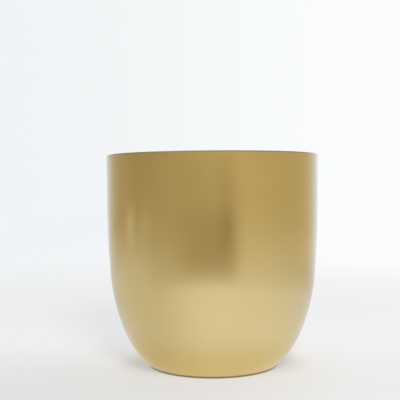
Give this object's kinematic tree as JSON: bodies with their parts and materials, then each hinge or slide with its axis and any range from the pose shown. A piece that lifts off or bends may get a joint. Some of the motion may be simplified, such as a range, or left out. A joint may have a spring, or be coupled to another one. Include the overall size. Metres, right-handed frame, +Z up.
{
  "type": "cachepot",
  "caption": "Round gold metal cachepot with an upright collar, a wall curving in to a small flat foot, a turned-in rim and felt pads underneath, to hide a plain nursery pot.",
  "frame": {"origin": "middle of the surface that the pot stands on, under the felt pads", "axes": "+Z up along the pot's axis, +X to the pot's right, +Y to its back"},
  "size_m": [0.2, 0.2, 0.198],
  "materials": {
    "satin_brass": "satin",
    "pad_felt": "matte",
    "pad_adhesive_film": "satin"
  },
  "bodies": {
    "root": {"pot_shell": "satin_brass", "back_right_foot_pad": "pad_felt", "back_left_foot_pad": "pad_felt", "front_left_foot_pad": "pad_felt", "front_right_foot_pad": "pad_felt", "back_right_pad_adhesive": "pad_adhesive_film", "back_left_pad_adhesive": "pad_adhesive_film", "front_left_pad_adhesive": "pad_adhesive_film", "front_right_pad_adhesive": "pad_adhesive_film"}
  },
  "joints": []
}
